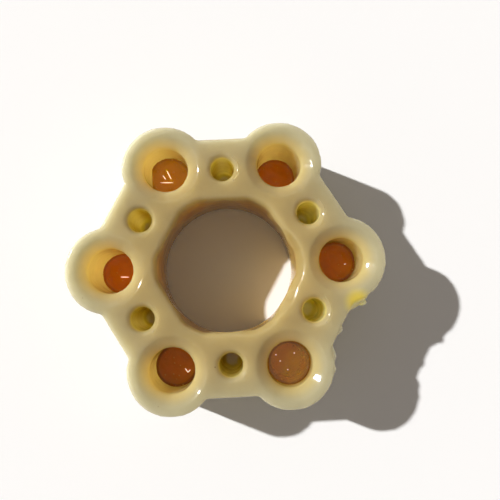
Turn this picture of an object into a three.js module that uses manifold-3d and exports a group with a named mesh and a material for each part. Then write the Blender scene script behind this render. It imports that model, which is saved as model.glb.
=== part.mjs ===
// Isolator of a pin-drive coupling: a soft cast ring with six pin bores and a hard plug cast into each bore.
// Millimetres, +Z up. The origin is the centre of the underside.
import * as THREE from 'three';
import { mergeVertices } from 'three/addons/utils/BufferGeometryUtils.js';
import Module from 'manifold-3d';

// Body outline: a hexagon whose corners carry round lobes.
const bodyThickness = 17.6;
const boreCount = 6;
const boreCircleRadius = 22;
const lobeRadius = 8.2;
const flankDistance = 24.4;
const outerEdgeRadius = 0.6;

// Pin bores: straight in the middle, with a dished mouth at each face.
const boreRadius = 4.2;
const mouthRadius = 6.7;
const mouthDepth = 1.7;
const mouthSoftening = 0.7;

// Flex holes between the bores, blind from the top face.
const flexHoleRadius = 2.15;
const flexHoleDepth = 12;
const flexHoleCircleRadius = 18.5;
const flexHoleMouthWidth = 0.45;
const flexHoleMouthDepth = 0.5;

// Centre opening: a rounded hexagon at the top that opens to a circle at the underside.
const openingFlatDistance = 12.4;
const openingCornerRadius = 13.3;
const openingFloorRadius = 13.8;
const openingEdgeRadius = 1.3;

// Plugs: discs of hard resin, each poured to its own level.
const plugThickness = 4;
const plugClearance = 0.3;
const plugLevels = [10.0, 6.4, 10.6, 7.0, 9.9, 14.3];
const plugNames = [
  'plug_right', 'plug_rear_right', 'plug_rear_left', 'plug_left', 'plug_front_left', 'plug_front_right',
];

// Knife trims on the top edge of the opening: how steep the cut is, how far its top edge lies from the axis,
// the way it faces and how long it is.
const trims = [
  { facing: -2, reach: 14.4, tilt: 50, length: 8.5 },
  { facing: -31, reach: 13.8, tilt: 42, length: 8 },
  { facing: -60, reach: 13.9, tilt: 45, length: 6 },
];
const trimBlockDepth = 6;

// Moulding flash: thin torn fins along the top edge, as points along the edge and how far each stands out.
const flashThickness = 0.9;
const flashDrop = 0.3;
const flashOverlap = 1.5;
const flashEdgeInset = 0.1;
const flankFlash = [
  [-2.6, 0], [-2.2, 0.5], [-1.5, 0.55], [-1.1, 0.1],
];
const spurFlash = [
  [2.2, 0], [2.9, 0.6], [4.3, 1.3], [5.0, 2.1], [5.3, 2.3], [5.5, 1.7], [6.2, 0.7], [7.2, 0.2],
];
const lobeFlash = [
  [-7, 0], [-1, 0.4], [4, 0.45], [5, 0.05], [9, 0.2], [15, 0.65], [22, 0.7], [28, 0.3], [33, 0],
];

// How finely curves are divided, and how far cutters run past the faces they cut.
const edgeSteps = 3;
const mouthSteps = 2;
const lobeSteps = 10;
const boreSteps = 24;
const flexHoleSteps = 14;
const openingSteps = 60;
const openingLevels = 1;
const cutterOverrun = 2;
const mouthRise = 0.02;

const sectorAngle = (2 * Math.PI) / boreCount;
const halfSector = sectorAngle / 2;

const wasm = await Module();
wasm.setup();

function toSolid(geometry) {
  const bare = geometry.index ? geometry.toNonIndexed() : geometry.clone();
  bare.deleteAttribute('normal');
  bare.deleteAttribute('uv');
  const welded = mergeVertices(bare, 1e-4);
  return new wasm.Manifold(new wasm.Mesh({
    numProp: 3,
    vertProperties: new Float32Array(welded.attributes.position.array),
    triVerts: new Uint32Array(welded.index.array),
  }));
}

function toGeometry(solid) {
  const mesh = solid.getMesh();
  const geometry = new THREE.BufferGeometry();
  geometry.setAttribute('position', new THREE.BufferAttribute(new Float32Array(mesh.vertProperties), 3));
  geometry.setIndex(new THREE.BufferAttribute(new Uint32Array(mesh.triVerts), 1));
  geometry.computeVertexNormals();
  return geometry;
}

function polar(radius, angle) {
  return new THREE.Vector2(radius * Math.cos(angle), radius * Math.sin(angle));
}

// The flank meets a lobe where the flank's line crosses the lobe's circle.
function lobeHalfSweep() {
  const centreToFlank = flankDistance - boreCircleRadius * Math.cos(halfSector);
  return halfSector + Math.acos(centreToFlank / lobeRadius);
}

function bodyOutline() {
  const sweep = lobeHalfSweep();
  const outline = new THREE.Shape();
  for (let i = 0; i < boreCount; i++) {
    const angle = i * sectorAngle;
    const centre = polar(boreCircleRadius, angle);
    const start = polar(lobeRadius, angle - sweep).add(centre);
    if (i === 0) outline.moveTo(start.x, start.y);
    else outline.lineTo(start.x, start.y);
    outline.absarc(centre.x, centre.y, lobeRadius, angle - sweep, angle + sweep, false);
  }
  outline.closePath();
  return outline;
}

// An outline raised to a block with rounded edges at both faces.
function softBlock(outline) {
  const block = new THREE.ExtrudeGeometry(outline, {
    depth: bodyThickness - 2 * outerEdgeRadius,
    curveSegments: lobeSteps,
    bevelThickness: outerEdgeRadius,
    bevelSize: outerEdgeRadius,
    bevelOffset: -outerEdgeRadius,
    bevelSegments: edgeSteps,
  });
  return block.translate(0, 0, outerEdgeRadius);
}

// A polyline whose inner corners are softened over a given reach.
function softLine(corners, reach) {
  const line = new THREE.Path();
  line.moveTo(corners[0].x, corners[0].y);
  for (let i = 1; i < corners.length - 1; i++) {
    const before = corners[i].clone().lerp(corners[i - 1], reach / corners[i].distanceTo(corners[i - 1]));
    const after = corners[i].clone().lerp(corners[i + 1], reach / corners[i].distanceTo(corners[i + 1]));
    line.lineTo(before.x, before.y);
    line.quadraticCurveTo(corners[i].x, corners[i].y, after.x, after.y);
  }
  const last = corners[corners.length - 1];
  line.lineTo(last.x, last.y);
  return line.getPoints(mouthSteps);
}

// The top end of a round cutter: up the given mouth line, whose heights are depths below the top face.
function topEnd(mouthLine) {
  const rim = mouthLine[0].x;
  return [
    ...mouthLine.map((p) => new THREE.Vector2(p.x, bodyThickness - p.y)).reverse(),
    new THREE.Vector2(rim, bodyThickness + cutterOverrun),
    new THREE.Vector2(0, bodyThickness + cutterOverrun),
  ];
}

// A round cutter through both faces, with a dished mouth at each: a cone between two softened corners.
function boreCutter() {
  const mouthLine = softLine([
    new THREE.Vector2(mouthRadius + mouthSoftening, -mouthRise),
    new THREE.Vector2(mouthRadius, 0),
    new THREE.Vector2(boreRadius, mouthDepth),
    new THREE.Vector2(boreRadius, mouthDepth + 2 * mouthSoftening),
  ], mouthSoftening);
  const profile = [
    new THREE.Vector2(0, -cutterOverrun),
    new THREE.Vector2(mouthLine[0].x, -cutterOverrun),
    ...mouthLine,
    ...topEnd(mouthLine),
  ];
  return new THREE.LatheGeometry(profile, boreSteps).rotateX(Math.PI / 2);
}

function flexHoleCutter() {
  const mouthLine = [
    new THREE.Vector2(flexHoleRadius + flexHoleMouthWidth, 0),
    new THREE.Vector2(flexHoleRadius, flexHoleMouthDepth),
  ];
  const floor = bodyThickness - flexHoleDepth;
  const profile = [
    new THREE.Vector2(0, floor),
    new THREE.Vector2(flexHoleRadius - flexHoleMouthWidth, floor),
    new THREE.Vector2(flexHoleRadius, floor + flexHoleMouthDepth),
    ...topEnd(mouthLine),
  ];
  return new THREE.LatheGeometry(profile, flexHoleSteps).rotateX(Math.PI / 2);
}

// The opening's wall at one height: a hexagon with its corners on a circle, easing to the floor's circle.
function openingRadius(angle, height) {
  const fromFlat = THREE.MathUtils.euclideanModulo(angle, sectorAngle) - halfSector;
  const atTop = Math.min(openingFlatDistance / Math.cos(fromFlat), openingCornerRadius);
  return THREE.MathUtils.lerp(openingFloorRadius, atTop, height / bodyThickness);
}

// How far the rounded edge at a face has opened the wall, at a given distance below that face.
function edgeFlare(distance) {
  const inward = Math.max(0, openingEdgeRadius - distance);
  return openingEdgeRadius - Math.sqrt(openingEdgeRadius ** 2 - inward ** 2);
}

function openingHeights() {
  const heights = [];
  for (let i = 0; i <= edgeSteps; i++) {
    heights.push(openingEdgeRadius * (1 - Math.cos((i / edgeSteps) * Math.PI / 2)));
  }
  const straight = bodyThickness - 2 * openingEdgeRadius;
  for (let i = 1; i < openingLevels; i++) {
    heights.push(openingEdgeRadius + (straight * i) / openingLevels);
  }
  return [...heights, ...heights.slice(0, edgeSteps + 1).map((z) => bodyThickness - z).reverse()];
}

function openingCutter() {
  const inner = openingHeights();
  const heights = [-cutterOverrun, ...inner, bodyThickness + cutterOverrun];
  const cutter = new THREE.CylinderGeometry(1, 1, 1, openingSteps, heights.length - 1).rotateX(Math.PI / 2);
  const spot = cutter.attributes.position;
  for (let i = 0; i < spot.count; i++) {
    const level = Math.round((spot.getZ(i) + 0.5) * (heights.length - 1));
    const within = THREE.MathUtils.clamp(heights[level], 0, bodyThickness);
    const angle = Math.atan2(spot.getY(i), spot.getX(i));
    const flare = edgeFlare(Math.min(within, bodyThickness - within));
    const scale = openingRadius(angle, within) + flare;
    spot.setXYZ(i, spot.getX(i) * scale, spot.getY(i) * scale, heights[level]);
  }
  return cutter;
}

// A block whose tilted inner face takes the opening's top edge off.
function trimCutter({ facing, reach, tilt, length }) {
  const block = new THREE.BoxGeometry(trimBlockDepth, length, trimBlockDepth);
  block.translate(-trimBlockDepth / 2, 0, trimBlockDepth / 2);
  block.rotateY(-THREE.MathUtils.degToRad(tilt));
  block.translate(reach, 0, bodyThickness);
  return block.rotateZ(THREE.MathUtils.degToRad(facing));
}

function flashFin(outline) {
  const fin = new THREE.ExtrudeGeometry(new THREE.Shape(outline), {
    depth: flashThickness,
    bevelEnabled: false,
  });
  return fin.translate(0, 0, bodyThickness - flashDrop - flashThickness);
}

// Flash along a straight flank, which faces the given way.
function flankFin(points, facing) {
  const root = flankDistance - flashOverlap;
  const place = (along, out) => new THREE.Vector2(out, along).rotateAround(new THREE.Vector2(), facing);
  const outer = points.map(([along, out]) => place(along, flankDistance - flashEdgeInset + out));
  const first = points[0][0];
  const last = points[points.length - 1][0];
  return flashFin([place(first, root), ...outer, place(last, root)]);
}

// Flash along a lobe, at angles in degrees about the lobe's own axis.
function lobeFin(points, lobeAngle) {
  const centre = polar(boreCircleRadius, lobeAngle);
  const at = (degrees, out) => polar(lobeRadius + out, THREE.MathUtils.degToRad(degrees)).add(centre);
  const outer = points.map(([degrees, out]) => at(degrees, out - flashEdgeInset));
  const inner = points.map(([degrees]) => at(degrees, -flashOverlap)).reverse();
  return flashFin([...outer, ...inner]);
}

function makeBody() {
  let body = toSolid(softBlock(bodyOutline()));
  const fins = [
    flankFin(flankFlash, -halfSector),
    flankFin(spurFlash, -halfSector),
    lobeFin(lobeFlash, -sectorAngle),
  ];
  for (const fin of fins) {
    body = body.add(toSolid(fin));
  }
  body = body.subtract(toSolid(openingCutter()));
  for (const trim of trims) {
    body = body.subtract(toSolid(trimCutter(trim)));
  }
  for (let i = 0; i < boreCount; i++) {
    const bore = boreCutter().translate(boreCircleRadius, 0, 0).rotateZ(i * sectorAngle);
    body = body.subtract(toSolid(bore));
    const flexHole = flexHoleCutter().translate(flexHoleCircleRadius, 0, 0);
    flexHole.rotateZ(i * sectorAngle + halfSector);
    body = body.subtract(toSolid(flexHole));
  }
  return toGeometry(body);
}

function makePlug() {
  return new THREE.CylinderGeometry(boreRadius - plugClearance, boreRadius - plugClearance, plugThickness, boreSteps)
    .rotateX(Math.PI / 2)
    .translate(0, 0, -plugThickness / 2);
}

const castCream = new THREE.MeshStandardMaterial({ color: 0xc9bd8c, roughness: 0.35, metalness: 0 });

const isolator = new THREE.Group();

const body = new THREE.Mesh(makeBody(), castCream);
body.name = 'isolator_body';
isolator.add(body);

plugNames.forEach((name, i) => {
  const amber = new THREE.MeshStandardMaterial({ color: 0x8a4302, roughness: 0.2, metalness: 0 });
  const plug = new THREE.Mesh(makePlug(), amber);
  plug.name = name;
  const spot = polar(boreCircleRadius, i * sectorAngle);
  plug.position.set(spot.x, spot.y, plugLevels[i]);
  isolator.add(plug);
});

export default isolator;
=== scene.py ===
import math

import bpy
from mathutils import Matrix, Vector


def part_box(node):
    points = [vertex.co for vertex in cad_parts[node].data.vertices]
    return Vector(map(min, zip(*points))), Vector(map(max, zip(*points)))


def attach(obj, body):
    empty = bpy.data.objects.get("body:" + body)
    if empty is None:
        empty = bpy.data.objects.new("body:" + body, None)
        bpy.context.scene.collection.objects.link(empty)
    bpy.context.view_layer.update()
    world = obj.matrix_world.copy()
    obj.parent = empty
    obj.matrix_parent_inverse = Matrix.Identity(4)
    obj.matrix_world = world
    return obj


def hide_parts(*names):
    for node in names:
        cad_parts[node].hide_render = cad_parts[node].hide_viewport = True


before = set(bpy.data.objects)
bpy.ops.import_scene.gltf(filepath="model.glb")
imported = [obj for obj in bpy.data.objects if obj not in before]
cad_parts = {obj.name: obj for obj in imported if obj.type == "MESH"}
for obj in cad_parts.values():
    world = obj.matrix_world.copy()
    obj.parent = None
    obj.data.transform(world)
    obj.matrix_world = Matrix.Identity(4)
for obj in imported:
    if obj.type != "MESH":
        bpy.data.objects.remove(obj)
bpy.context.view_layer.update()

mm = 0.001
lobeAngles = [math.radians(60 * i) for i in range(6)]
webAngles = [math.radians(30 + 60 * i) for i in range(6)]
slant = math.cos(math.radians(30))  # a hexagon's flat over its corner


# small helpers for work by hand

def onlySelect(piece):
    if bpy.context.object and bpy.context.object.mode != "OBJECT":
        bpy.ops.object.mode_set(mode="OBJECT")
    bpy.ops.object.select_all(action="DESELECT")
    bpy.context.view_layer.objects.active = piece
    piece.select_set(True)


def startFresh():
    bpy.ops.object.select_all(action="DESELECT")


def settle(piece):
    onlySelect(piece)
    bpy.ops.object.transform_apply(location=True, rotation=True, scale=True)


def finishModifier(piece, modifier):
    onlySelect(piece)
    bpy.ops.object.modifier_apply(modifier=modifier.name)


def combine(piece, tool, operation):
    settle(tool)
    cut = piece.modifiers.new("cut", "BOOLEAN")
    cut.operation = operation
    cut.solver = "EXACT"
    cut.object = tool
    finishModifier(piece, cut)
    bpy.data.objects.remove(tool)


def evenGrid(piece, voxel):
    grid = piece.modifiers.new("grid", "REMESH")
    grid.mode = "VOXEL"
    grid.voxel_size = voxel
    finishModifier(piece, grid)


def smoothOut(piece, times):
    ease = piece.modifiers.new("ease", "SMOOTH")
    ease.factor = 0.5
    ease.iterations = times
    finishModifier(piece, ease)


# pushes the surface in by up to the depth, in soft clouds
def makeUneven(piece, name, size, depth, direction="NORMAL"):
    cloud = bpy.data.textures.new(name, "CLOUDS")
    cloud.noise_scale = size
    swell = piece.modifiers.new("swell", "DISPLACE")
    swell.texture = cloud
    swell.texture_coords = "LOCAL"
    swell.direction = direction
    swell.strength = depth
    swell.mid_level = 1.0
    finishModifier(piece, swell)


def addRound(radius, low, high, place=(0, 0), sides=96, topRadius=None):
    startFresh()
    middle = (place[0], place[1], (low + high) / 2)
    if topRadius is None:
        bpy.ops.mesh.primitive_cylinder_add(vertices=sides, radius=radius, depth=high - low, location=middle)
    else:
        bpy.ops.mesh.primitive_cone_add(vertices=sides, radius1=radius, radius2=topRadius,
                                        depth=high - low, location=middle)
    return bpy.context.object


def addHexagon(flat, low, high, topFlat=None):
    topCorner = None if topFlat is None else topFlat / slant
    block = addRound(flat / slant, low, high, sides=6, topRadius=topCorner)
    block.rotation_euler.z = math.radians(30)
    settle(block)
    return block


def around(radius, angle):
    return radius * math.cos(angle), radius * math.sin(angle)


def fadeIn(value, start, end):
    t = min(1, max(0, (value - start) / (end - start)))
    return t * t * (3 - 2 * t)


def writePlace(piece, name, values):
    note = piece.data.attributes.new(name, "FLOAT", "POINT")
    note.data.foreach_set("value", values)


# small helpers for materials

def readPlace(nodes, name):
    note = nodes.new("ShaderNodeAttribute")
    note.attribute_name = name
    return note.outputs["Fac"]


def addMix(nodes, links, factor, first, second):
    mix = nodes.new("ShaderNodeMix")
    mix.data_type = "RGBA"
    links.new(factor, mix.inputs["Factor"])
    for end, socket in ((first, mix.inputs[6]), (second, mix.inputs[7])):
        if isinstance(end, tuple):
            socket.default_value = (*end, 1)
        else:
            links.new(end, socket)
    return mix.outputs[2]


def addMath(nodes, links, operation, first, second):
    step = nodes.new("ShaderNodeMath")
    step.operation = operation
    links.new(first, step.inputs[0])
    if isinstance(second, float):
        step.inputs[1].default_value = second
    else:
        links.new(second, step.inputs[1])
    return step.outputs[0]


def addRange(nodes, links, value, source=(0.0, 1.0), result=(0.0, 1.0), blend="LINEAR"):
    span = nodes.new("ShaderNodeMapRange")
    span.interpolation_type = blend
    span.inputs["From Min"].default_value = source[0]
    span.inputs["From Max"].default_value = source[1]
    span.inputs["To Min"].default_value = result[0]
    span.inputs["To Max"].default_value = result[1]
    links.new(value, span.inputs["Value"])
    return span.outputs[0]


def addNoise(nodes, links, place, scale, detail, distortion=0.0):
    noise = nodes.new("ShaderNodeTexNoise")
    noise.inputs["Scale"].default_value = scale
    noise.inputs["Detail"].default_value = detail
    noise.inputs["Distortion"].default_value = distortion
    links.new(place, noise.inputs["Vector"])
    return noise.outputs["Fac"]


def addBump(nodes, links, skin, height, strength, distance):
    bump = nodes.new("ShaderNodeBump")
    bump.inputs["Strength"].default_value = strength
    bump.inputs["Distance"].default_value = distance
    links.new(height, bump.inputs["Height"])
    links.new(bump.outputs["Normal"], skin.inputs["Normal"])


print("camera, lamps and floor")

view = {
    "place": (2.27 * mm, -6.22 * mm, 104.42 * mm),
    "turn": (5.84, -1.19, -2.91),
    "lens": 33.49,
    "sensor": 36,
    "near": 5 * mm,
    "far": 20,
    "sunPlace": (-0.3, 0.14, 0.25),
    "sunTravel": (0.994, -0.452, -0.803),
    "sun": 4.25,
    "sunSpread": 1.4,
    "skyHorizon": (0.50, 0.45, 0.405),
    "skyZenith": (0.19, 0.172, 0.155),
    "skyFade": (0.04, 0.55),  # the heights between which the horizon's colour turns into the zenith's
    "floor": (0.97, 0.965, 0.96),
    "floorSize": 3.0,
    "floorRoughness": 0.9,
    "floorMirror": 0.1,
}


def setUpView():
    startFresh()
    turn = [math.radians(a) for a in view["turn"]]
    bpy.ops.object.camera_add(location=view["place"], rotation=turn)
    camera = bpy.context.object
    camera.data.lens = view["lens"]
    camera.data.sensor_width = view["sensor"]
    camera.data.clip_start = view["near"]
    camera.data.clip_end = view["far"]
    bpy.context.scene.camera = camera

    bpy.ops.object.light_add(type="SUN", location=view["sunPlace"])
    lamp = bpy.context.object
    lamp.rotation_euler = Vector(view["sunTravel"]).to_track_quat("-Z", "Y").to_euler()
    lamp.data.energy = view["sun"]
    lamp.data.angle = math.radians(view["sunSpread"])


# the sky lights the part, and white stands behind it, also in what it mirrors and lets through
def setUpSky():
    world = bpy.data.worlds.new("studioSky")
    world.use_nodes = True
    nodes, links = world.node_tree.nodes, world.node_tree.links
    nodes.clear()
    place = nodes.new("ShaderNodeTexCoord")
    split = nodes.new("ShaderNodeSeparateXYZ")
    fade = nodes.new("ShaderNodeValToRGB")
    fade.color_ramp.interpolation = "EASE"
    for end, height, colour in zip(fade.color_ramp.elements, view["skyFade"],
                                   (view["skyHorizon"], view["skyZenith"])):
        end.position = height
        end.color = (*colour, 1)
    back = nodes.new("ShaderNodeBackground")
    plain = nodes.new("ShaderNodeBackground")
    plain.inputs["Color"].default_value = (1, 1, 1, 1)
    ray = nodes.new("ShaderNodeLightPath").outputs
    seen = addMath(nodes, links, "MAXIMUM", ray["Is Camera Ray"], ray["Is Transmission Ray"])
    seen = addMath(nodes, links, "MAXIMUM", seen, ray["Is Glossy Ray"])
    pick = nodes.new("ShaderNodeMixShader")
    out = nodes.new("ShaderNodeOutputWorld")
    links.new(place.outputs["Generated"], split.inputs[0])
    links.new(split.outputs["Z"], fade.inputs["Fac"])
    links.new(fade.outputs["Color"], back.inputs["Color"])
    links.new(seen, pick.inputs[0])
    links.new(back.outputs["Background"], pick.inputs[1])
    links.new(plain.outputs["Background"], pick.inputs[2])
    links.new(pick.outputs[0], out.inputs["Surface"])
    bpy.context.scene.world = world


def makeFloor():
    startFresh()
    bpy.ops.mesh.primitive_plane_add(size=view["floorSize"], location=(0, 0, 0))
    floor = bpy.context.object
    floor.name = "floor"
    paper = bpy.data.materials.new("palePaper")
    paper.use_nodes = True
    skin = paper.node_tree.nodes["Principled BSDF"]
    skin.inputs["Base Color"].default_value = (*view["floor"], 1)
    skin.inputs["Roughness"].default_value = view["floorRoughness"]
    skin.inputs["Specular IOR Level"].default_value = view["floorMirror"]
    floor.data.materials.append(paper)


setUpView()
setUpSky()
makeFloor()


print("cast ring")

ring = {
    "thickness": 17.6 * mm,
    "flank": 24.4 * mm,
    "boreCircle": 22 * mm,
    "lobe": 8.2 * mm,
    "bore": 4.2 * mm,
    "mouth": 6.5 * mm,
    "mouthDepth": 1.5 * mm,
    "flexCircle": 18.5 * mm,
    "flexHole": 2.15 * mm,
    "flexDepth": 12 * mm,
    "flexMouth": 0.7 * mm,
    "openingFlat": 12.35 * mm,
    "openingCorner": 13.2 * mm,
    "openingFloor": 13.8 * mm,
    "openingRoll": 1.5 * mm,
    "rollSteps": (35, 62),  # degrees from level, one flat of the soft edge each
    "voxel": 0.39 * mm,
    "softness": 4,
    "unevenness": 0.14 * mm,
    "unevenSize": 7 * mm,
}


def castBlock():
    block = addHexagon(ring["flank"], 0, ring["thickness"])
    for angle in lobeAngles:
        lobe = addRound(ring["lobe"], 0, ring["thickness"], around(ring["boreCircle"], angle))
        combine(block, lobe, "UNION")
    return block


def openTheMiddle(block):
    over = 2 * mm
    top = ring["thickness"]
    middle = addHexagon(ring["openingFlat"], -over, top + over)
    corners = addRound(ring["openingCorner"], -2 * over, top + 2 * over, sides=120)
    combine(middle, corners, "INTERSECT")
    slope = (ring["openingFloor"] - ring["openingFlat"]) / top
    taper = addRound(ring["openingFloor"] + slope * over, -over, top + over, sides=120,
                     topRadius=ring["openingFlat"] - slope * over)
    combine(middle, taper, "UNION")
    combine(block, middle, "DIFFERENCE")
    for steepness in ring["rollSteps"]:
        rollTheTop(block, steepness)


# one flat of the soft edge round the opening, cut by a tapered hexagon with tapered corners
def rollTheTop(block, steepness):
    top = ring["thickness"]
    over = 1 * mm
    angle = math.radians(steepness)
    low = top - ring["openingRoll"] * math.tan(angle / 2)
    reach = (top - low) / math.tan(angle)
    out = reach * (1 + over / (top - low))
    flare = addHexagon(ring["openingFlat"], low, top + over, topFlat=ring["openingFlat"] + out)
    corners = addRound(ring["openingCorner"], low - over * 0.01, top + over * 1.01, sides=120,
                       topRadius=ring["openingCorner"] + out)
    combine(flare, corners, "INTERSECT")
    combine(block, flare, "DIFFERENCE")


def boreTheLobes(block):
    top = ring["thickness"]
    steep = (ring["mouth"] - ring["bore"]) / ring["mouthDepth"]
    over = 1 * mm
    wide = ring["mouth"] + steep * over
    for angle in lobeAngles:
        spot = around(ring["boreCircle"], angle)
        combine(block, addRound(ring["bore"], -over, top + over, spot), "DIFFERENCE")
        combine(block, addRound(ring["bore"], top - ring["mouthDepth"], top + over, spot, topRadius=wide),
                "DIFFERENCE")
        combine(block, addRound(wide, -over, ring["mouthDepth"], spot, topRadius=ring["bore"]), "DIFFERENCE")


def boreTheWebs(block):
    top = ring["thickness"]
    over = 1 * mm
    wide = ring["flexHole"] + ring["flexMouth"] + over
    for angle in webAngles:
        spot = around(ring["flexCircle"], angle)
        combine(block, addRound(ring["flexHole"], top - ring["flexDepth"], top + over, spot, sides=48),
                "DIFFERENCE")
        combine(block, addRound(ring["flexHole"], top - ring["flexMouth"], top + over, spot, sides=48,
                                topRadius=wide), "DIFFERENCE")


# knife trims on the opening's top edge: the way each faces, how far out it starts, how steep it is
trims = {
    "right": (-1, 14.5 * mm, 54),
    "lowerRight": (-31, 13.9 * mm, 38),
    "low": (-60, 13.9 * mm, 50),
    "scoop": 9 * mm,
    "bite": 0.5,
}


def trimTheEdge(block, name):
    facing, reach, tilt = trims[name]
    facing, tilt = math.radians(facing), math.radians(tilt)
    inward = reach - trims["scoop"] * math.sin(tilt)
    up = ring["thickness"] + trims["scoop"] * math.cos(tilt)
    deep = (reach - ring["openingFlat"]) * trims["bite"]
    startFresh()
    bpy.ops.mesh.primitive_uv_sphere_add(segments=72, ring_count=36, radius=trims["scoop"])
    knife = bpy.context.object
    knife.location = (inward - deep * (1 - math.cos(tilt)), 0, up - deep * math.sin(tilt))
    settle(knife)
    knife.rotation_euler.z = facing
    combine(block, knife, "DIFFERENCE")


# moulding flash: each torn fin as the points of its outer edge in mm, from one root to the other
flash = {
    "spur": [(21.3, -11.2), (22.58, -9.65), (23.21, -9.35), (23.76, -9.09), (24.3, -8.8), (24.9, -8.86),
             (25.48, -8.69), (25.85, -8.32), (25.59, -7.76), (25.94, -7.37), (26.4, -6.7), (24.6, -5.6)],
    "flank": [(19.2, -14.2), (20.14, -13.99), (20.5, -13.69), (20.82, -13.39), (21.03, -13.02),
              (20.92, -12.48), (20.1, -11.6)],
    "lobe": [(17.6, -15.6), (19.0, -15.72), (18.98, -16.22), (19.32, -17.05), (19.45, -17.75),
             (19.38, -18.28), (19.12, -18.66), (18.93, -19.1), (19.28, -20.08), (19.11, -20.59),
             (18.62, -21.46), (17.2, -21.6)],
    "drop": 0.25 * mm,
    "thickness": 1.1 * mm,
}


def addFin(name):
    points = [Vector((x * mm, y * mm, 0)) for x, y in flash[name]]
    startFresh()
    bpy.ops.mesh.primitive_plane_add(size=1 * mm, location=(0, 0, 0))
    fin = bpy.context.object
    bpy.ops.object.mode_set(mode="EDIT")
    bpy.ops.mesh.merge(type="CENTER")
    low = ring["thickness"] - flash["drop"] - flash["thickness"]
    bpy.ops.transform.translate(value=points[0] + Vector((0, 0, low)))
    for before, after in zip(points, points[1:]):
        bpy.ops.mesh.extrude_region_move(TRANSFORM_OT_translate={"value": after - before})
    bpy.ops.mesh.select_all(action="SELECT")
    bpy.ops.mesh.edge_face_add()
    bpy.ops.mesh.extrude_region_move(TRANSFORM_OT_translate={"value": (0, 0, flash["thickness"])})
    bpy.ops.mesh.select_all(action="SELECT")
    bpy.ops.mesh.normals_make_consistent(inside=False)
    bpy.ops.object.mode_set(mode="OBJECT")
    return fin


# thin curved lips that the mould left beside four of the flex holes
lips = {
    "holes": (0, 1, 3, 5),
    "radius": 3.05 * mm,
    "halfWidth": 0.16 * mm,
    "from": 2.0 * mm,
}


def addLip(block, index):
    x, y = around(ring["flexCircle"], webAngles[index])
    startFresh()
    bpy.ops.mesh.primitive_torus_add(location=(x, y, ring["thickness"] - lips["halfWidth"]),
                                     major_segments=64, minor_segments=10,
                                     major_radius=lips["radius"], minor_radius=lips["halfWidth"])
    lip = bpy.context.object
    settle(lip)
    bpy.ops.object.mode_set(mode="EDIT")
    bpy.ops.mesh.select_all(action="SELECT")
    bpy.ops.mesh.bisect(plane_co=(x + lips["from"], y, 0), plane_no=(-1, 0, 0), clear_outer=True,
                        use_fill=True)
    bpy.ops.object.mode_set(mode="OBJECT")
    combine(block, lip, "UNION")


castRing = castBlock()
for name in ("right", "lowerRight", "low"):
    trimTheEdge(castRing, name)
openTheMiddle(castRing)
boreTheLobes(castRing)
boreTheWebs(castRing)
evenGrid(castRing, ring["voxel"])
smoothOut(castRing, ring["softness"])
makeUneven(castRing, "castUnevenness", ring["unevenSize"], ring["unevenness"])

print("lips and moulding flash")

for index in lips["holes"]:
    addLip(castRing, index)
for name in ("spur", "flank", "lobe"):
    combine(castRing, addFin(name), "UNION")
castRing.name = "castRing"
onlySelect(castRing)
bpy.ops.object.shade_smooth()
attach(castRing, "root")
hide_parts("isolator_body")


print("cream urethane")

cream = {
    "web": (0.42, 0.315, 0.125),
    # painted light: the lobes are painted paler than the webs
    "lobe": (0.405, 0.36, 0.215),
    # painted light and shade: a painted glow in the bores and flex holes, painted shade in the opening
    "bore": (0.51, 0.385, 0.15),
    "flex": (0.46, 0.37, 0.078),
    # painted light: the flex holes on the right are painted paler
    "flexFarPaintedLight": (0.80, 0.63, 0.21),
    "middle": (0.42, 0.255, 0.05),
    "stain": (0.66, 0.49, 0.06),
    "speck": (0.12, 0.07, 0.03),
    "reach": (0.0115, 0.0112, 0.0098),
    "deepReach": (0.0255, 0.0215, 0.0155),
    "gloss": 0.1,
    "glossSpread": (0.6, 1.5),
    "mirror": 0.3,
    "lobePaintedLightFade": (16.5 * mm, 27.5 * mm),  # from the axis
    "flexPaintedLightFade": (-6 * mm, 14 * mm),  # from left to right
    "cloudScale": 110,
    "cloudContrast": (0.3, 0.7),
    "cloudTone": (0.9, 1.07),
    "speckScale": 260,
    "speckSize": (0.025, 0.05),
    "speckStrength": 0.6,
    "fineScale": 330,
    "fineStrength": 0.25,
    "fineHeight": 0.6 * mm,
}

# where each colour of the walls (painted glow and shade) and the real stain begins to fade, and where it
# ends
fades = {
    "bore": (0, 2.2 * mm),  # out from the bore's wall
    "flex": (-0.05 * mm, 0.3 * mm),  # out from the flex hole's wall
    "middle": (14.2 * mm, 15.2 * mm),  # out from the axis
    "middleDepth": (0.5 * mm, 4 * mm),  # down from the top
    "stainSpot": (24.2 * mm, -8.2 * mm),
    "stain": (0.8 * mm, 3.2 * mm),  # out from its spot
    "stainDepth": (1 * mm, 3 * mm),  # down from the top
}


# one value a vertex for each kind of place: in a bore, a flex hole or the opening, where glow and shade are
# painted, and by the stained spur
def markPlaces(piece):
    places = {"bore": [], "flex": [], "middle": [], "stain": []}
    bores = [Vector(around(ring["boreCircle"], a)) for a in lobeAngles]
    holes = [Vector(around(ring["flexCircle"], a)) for a in webAngles]
    stain = Vector(fades["stainSpot"])
    for vertex in piece.data.vertices:
        spot = vertex.co.xy
        depth = ring["thickness"] - vertex.co.z
        toBore = min((spot - c).length for c in bores) - ring["bore"]
        toHole = min((spot - c).length for c in holes) - ring["flexHole"]
        places["bore"].append(1 - fadeIn(toBore, *fades["bore"]))
        places["flex"].append(1 - fadeIn(toHole, *fades["flex"]))
        inside = 1 - fadeIn(spot.length, *fades["middle"])
        places["middle"].append(inside * fadeIn(depth, *fades["middleDepth"]))
        beside = 1 - fadeIn((spot - stain).length, *fades["stain"])
        places["stain"].append(beside * (1 - fadeIn(depth, *fades["stainDepth"])))
    for name, values in places.items():
        writePlace(piece, name, values)


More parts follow.
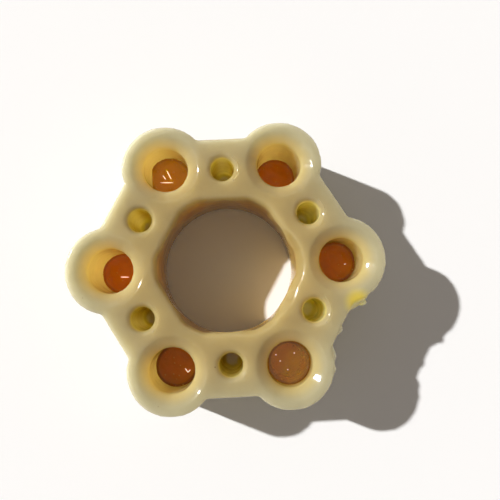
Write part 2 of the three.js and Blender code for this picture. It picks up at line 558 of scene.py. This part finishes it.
def makeCream():
    stuff = bpy.data.materials.new("creamUrethane")
    stuff.use_nodes = True
    nodes, links = stuff.node_tree.nodes, stuff.node_tree.links
    skin = nodes["Principled BSDF"]
    skin.subsurface_method = "RANDOM_WALK"
    skin.inputs["Specular IOR Level"].default_value = cream["mirror"]
    skin.inputs["Subsurface Scale"].default_value = 1.0
    skin.inputs["Subsurface Weight"].default_value = 1.0
    place = nodes.new("ShaderNodeTexCoord").outputs["Object"]

    # painted light: the lobes are painted paler than the webs
    flat = nodes.new("ShaderNodeVectorMath")
    flat.operation = "MULTIPLY"
    flat.inputs[1].default_value = (1, 1, 0)
    links.new(place, flat.inputs[0])
    far = nodes.new("ShaderNodeVectorMath")
    far.operation = "LENGTH"
    links.new(flat.outputs[0], far.inputs[0])
    lobePaintedLight = addRange(nodes, links, far.outputs["Value"], cream["lobePaintedLightFade"], blend="SMOOTHSTEP")
    colour = addMix(nodes, links, lobePaintedLight, cream["web"], cream["lobe"])

    # cloudy tone of the cast
    blotch = addNoise(nodes, links, place, cream["cloudScale"], 4)
    tone = addRange(nodes, links, blotch, cream["cloudContrast"], cream["cloudTone"])
    cloudy = nodes.new("ShaderNodeVectorMath")
    cloudy.operation = "SCALE"
    links.new(colour, cloudy.inputs[0])
    links.new(tone, cloudy.inputs["Scale"])

    # a few specks of dirt
    grain = nodes.new("ShaderNodeTexVoronoi")
    grain.inputs["Scale"].default_value = cream["speckScale"]
    links.new(place, grain.inputs["Vector"])
    speck = addRange(nodes, links, grain.outputs["Distance"], cream["speckSize"],
                     (cream["speckStrength"], 0.0))
    colour = addMix(nodes, links, speck, cloudy.outputs[0], cream["speck"])

    # painted light: the flex holes on the right get less light through the body, and are painted paler
    sides = nodes.new("ShaderNodeSeparateXYZ")
    links.new(place, sides.inputs[0])
    paintedLightAcross = addRange(nodes, links, sides.outputs["X"], cream["flexPaintedLightFade"])
    flex = addMix(nodes, links, paintedLightAcross, cream["flex"], cream["flexFarPaintedLight"])
    bore, middle = readPlace(nodes, "bore"), readPlace(nodes, "middle")
    hole, stain = readPlace(nodes, "flex"), readPlace(nodes, "stain")
    # painted shade in the opening, painted glow in the flex holes and bores, then the cast's real stain
    colour = addMix(nodes, links, middle, colour, cream["middle"])
    colour = addMix(nodes, links, hole, colour, flex)
    colour = addMix(nodes, links, bore, colour, cream["bore"])
    colour = addMix(nodes, links, stain, colour, cream["stain"])
    links.new(colour, skin.inputs["Base Color"])

    # light reaches further where the holes' walls are lit only through the body
    deep = addMath(nodes, links, "MAXIMUM", bore, hole)
    deep = addMath(nodes, links, "MAXIMUM", deep, middle)
    reach = addMix(nodes, links, deep, cream["reach"], cream["deepReach"])
    links.new(reach, skin.inputs["Subsurface Radius"])

    # fine unevenness in the gloss and the surface
    fine = addNoise(nodes, links, place, cream["fineScale"], 2)
    spread = tuple(cream["gloss"] * s for s in cream["glossSpread"])
    links.new(addRange(nodes, links, fine, result=spread), skin.inputs["Roughness"])
    addBump(nodes, links, skin, fine, cream["fineStrength"], cream["fineHeight"])
    return stuff


markPlaces(castRing)
castRing.data.materials.clear()
castRing.data.materials.append(makeCream())


print("amber plugs")

# each plug's colour, how clear it is, and how strongly it glows: a painted glow, an emission that stands in
# for the light from the body
resins = {
    "right": ((0.95, 0.23, 0.002), 0.1, 0.06),
    "rear_right": ((0.98, 0.24, 0.002), 0.1, 0.1),
    "rear_left": ((1.0, 0.38, 0.002), 0.35, 0.11),
    "left": ((1.0, 0.22, 0.002), 0.08, 0.14),
    "front_left": ((0.90, 0.22, 0.002), 0.15, 0.04),
    "front_right": ((0.98, 0.42, 0.01), 0.9, 0.04),
}

resin = {
    "reach": (0.009, 0.004, 0.0006),
    "bend": 1.35,
    "mirror": 0.15,
    "gloss": 0.08,
    "streakScale": 260,
    "streakTwist": 0.8,
    "streakContrast": (0.35, 0.65),
    "streakShade": 0.85,
    "wallShade": 0.35,
    "bubbleScale": 900,
    "bubbleSize": (0.1, 0.22),
    "bubbleStrength": 0.35,
    "bubble": (1.0, 0.62, 0.12),
    "bumpStrength": 0.35,
    "bumpHeight": 0.4 * mm,
}

# painted glints: pale, glowing streaks and dots as small bumps just under the resin's surface, as the mm of
# both ends of each
paintedGlints = {
    "rear_left": [(-11.73, 20.86, -10.77, 18.71), (-12.45, 19.6, -11.95, 18.85),
                  (-13.04, 18.18, -10.38, 18.06)],
    "front_left": [(-9.39, -19.77, -8.9, -20.5), (-8.9, -20.5, -8.43, -20.1)],
    "front_right": [(8.54, -17.46, 8.6, -17.5), (10.66, -20.38, 10.7, -20.4), (9.3, -18.7, 9.35, -18.7),
                    (12.1, -17.3, 12.1, -17.35)],
    "right": [(23.98, -0.49, 24.2, -0.45)],
    "left": [(-22.5, -0.68, -20.89, -0.78)],
    "rear_right": [],
    "halfWidth": 0.1 * mm,
    "halfHeight": 0.06 * mm,
    "colour": (1.0, 0.92, 0.75),
    "paintedGlow": 0.38,
}


def makeAmber(name):
    tint, clearness, paintedGlow = resins[name]
    stuff = bpy.data.materials.new("amberResin")
    stuff.use_nodes = True
    nodes, links = stuff.node_tree.nodes, stuff.node_tree.links
    skin = nodes["Principled BSDF"]
    skin.inputs["Subsurface Weight"].default_value = 1.0
    skin.inputs["Subsurface Scale"].default_value = 1.0
    skin.inputs["Subsurface Radius"].default_value = resin["reach"]
    skin.inputs["IOR"].default_value = resin["bend"]
    skin.inputs["Specular IOR Level"].default_value = resin["mirror"]
    skin.inputs["Roughness"].default_value = resin["gloss"]
    place = nodes.new("ShaderNodeTexCoord").outputs["Object"]
    glintMask = readPlace(nodes, "paintedGlints")

    # cloudy streaks in the resin
    streak = addNoise(nodes, links, place, resin["streakScale"], 3, resin["streakTwist"])
    tone = addRange(nodes, links, streak, resin["streakContrast"])
    darker = tuple(c * resin["streakShade"] for c in tint)
    colour = addMix(nodes, links, tone, darker, tint)

    # a faint painted glow, an emission standing in for the light that the body lets through to the resin,
    # and more of it on the painted glints
    glowing = addMix(nodes, links, glintMask, colour, paintedGlints["colour"])
    links.new(glowing, skin.inputs["Emission Color"])
    if paintedGlints[name]:
        brighter = addRange(nodes, links, glintMask, result=(paintedGlow, paintedGlints["paintedGlow"]))
        links.new(brighter, skin.inputs["Emission Strength"])
        clearer = addRange(nodes, links, glintMask, result=(clearness, 0.0))
        links.new(clearer, skin.inputs["Transmission Weight"])
    else:
        skin.inputs["Emission Strength"].default_value = paintedGlow
        skin.inputs["Transmission Weight"].default_value = clearness

    # painted shade: darker where the resin meets the wall
    deep = tuple(c * resin["wallShade"] for c in tint)
    colour = addMix(nodes, links, readPlace(nodes, "wall"), colour, deep)

    # small bubbles
    bubble = nodes.new("ShaderNodeTexVoronoi")
    bubble.inputs["Scale"].default_value = resin["bubbleScale"]
    links.new(place, bubble.inputs["Vector"])
    spot = addRange(nodes, links, bubble.outputs["Distance"], resin["bubbleSize"], (1.0, 0.0))
    light = addMath(nodes, links, "MULTIPLY", spot, resin["bubbleStrength"])
    colour = addMix(nodes, links, light, colour, resin["bubble"])
    # painted glints: pale on the streaks and dots
    colour = addMix(nodes, links, glintMask, colour, paintedGlints["colour"])
    links.new(colour, skin.inputs["Base Color"])
    lift = addMath(nodes, links, "ADD", spot, streak)
    addBump(nodes, links, skin, lift, resin["bumpStrength"], resin["bumpHeight"])
    return stuff


plugs = {
    "radius": 4.18 * mm,
    "sides": 64,
    "meniscus": 0.3 * mm,
    "rimWidth": 1.6,  # in heights of the meniscus, as the next two are
    "bowlWidth": 3,
    "bowlDepth": 0.4,
    "voxel": 0.22 * mm,
    "softness": 4,
    "waves": 0.5 * mm,
    "waveSize": 3 * mm,
    "clipped": {"rear_left": 3.6 * mm},
    "wallFade": (0.25 * mm, 0.75 * mm),
}


def clip(plug, edge):
    bpy.ops.object.mode_set(mode="EDIT")
    bpy.ops.mesh.select_all(action="SELECT")
    bpy.ops.mesh.bisect(plane_co=(edge, 0, 0), plane_no=(-1, 0, 0), clear_outer=True, use_fill=True)
    bpy.ops.object.mode_set(mode="OBJECT")


# the resin climbs the bore wall a little, and its surface isn't quite even
def shapeTop(plug):
    rise = plugs["meniscus"]
    bpy.ops.object.mode_set(mode="EDIT")
    bpy.ops.mesh.select_all(action="DESELECT")
    bpy.ops.object.mode_set(mode="OBJECT")
    for face in plug.data.polygons:
        face.select = face.normal.z > 0.9
    bpy.ops.object.mode_set(mode="EDIT")
    bpy.ops.mesh.inset(thickness=rise * plugs["rimWidth"])
    bpy.ops.transform.translate(value=(0, 0, -rise))
    bpy.ops.mesh.inset(thickness=rise * plugs["bowlWidth"])
    bpy.ops.transform.translate(value=(0, 0, -rise * plugs["bowlDepth"]))
    bpy.ops.object.mode_set(mode="OBJECT")
    evenGrid(plug, plugs["voxel"])
    makeUneven(plug, "resinWaves", plugs["waveSize"], plugs["waves"], "Z")
    smoothOut(plug, plugs["softness"])


# painted glints: a small flat bump, painted pale and glowing, at each listed streak or dot
def addPaintedGlints(plug, name, level):
    writePlace(plug, "paintedGlints", [0.0] * len(plug.data.vertices))
    for x1, y1, x2, y2 in paintedGlints[name]:
        start, end = Vector((x1, y1)) * mm, Vector((x2, y2)) * mm
        middle, run = (start + end) / 2, end - start
        met, spot, normal, face = plug.ray_cast((middle.x, middle.y, level + 1 * mm), (0, 0, -1))
        if not met:
            continue
        startFresh()
        bpy.ops.mesh.primitive_uv_sphere_add(segments=16, ring_count=8, radius=1)
        bubble = bpy.context.object
        bubble.scale = (run.length / 2 + paintedGlints["halfWidth"], paintedGlints["halfWidth"], paintedGlints["halfHeight"])
        bubble.rotation_euler.z = math.atan2(run.y, run.x)
        bubble.location = spot
        settle(bubble)
        writePlace(bubble, "paintedGlints", [1.0] * len(bubble.data.vertices))
        onlySelect(plug)
        bubble.select_set(True)
        bpy.ops.object.join()


def makePlug(name):
    node = "plug_" + name
    low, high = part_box(node)
    centre = (low + high) / 2
    plug = addRound(plugs["radius"], low.z, high.z, (centre.x, centre.y), sides=plugs["sides"])
    settle(plug)
    if name in plugs["clipped"]:
        clip(plug, centre.x - plugs["clipped"][name])
    shapeTop(plug)
    plug.name = "amberPlug_" + name
    # painted shade mask: strongest at the bore wall, fading inward
    toWall = [plugs["radius"] - (v.co.xy - centre.xy).length for v in plug.data.vertices]
    writePlace(plug, "wall", [1 - fadeIn(d, *plugs["wallFade"]) for d in toWall])
    addPaintedGlints(plug, name, high.z)
    plug.data.materials.append(makeAmber(name))
    onlySelect(plug)
    bpy.ops.object.shade_smooth()
    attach(plug, "root")
    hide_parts(node)


for name in resins:
    makePlug(name)

bpy.context.scene.view_settings.view_transform = "Standard"
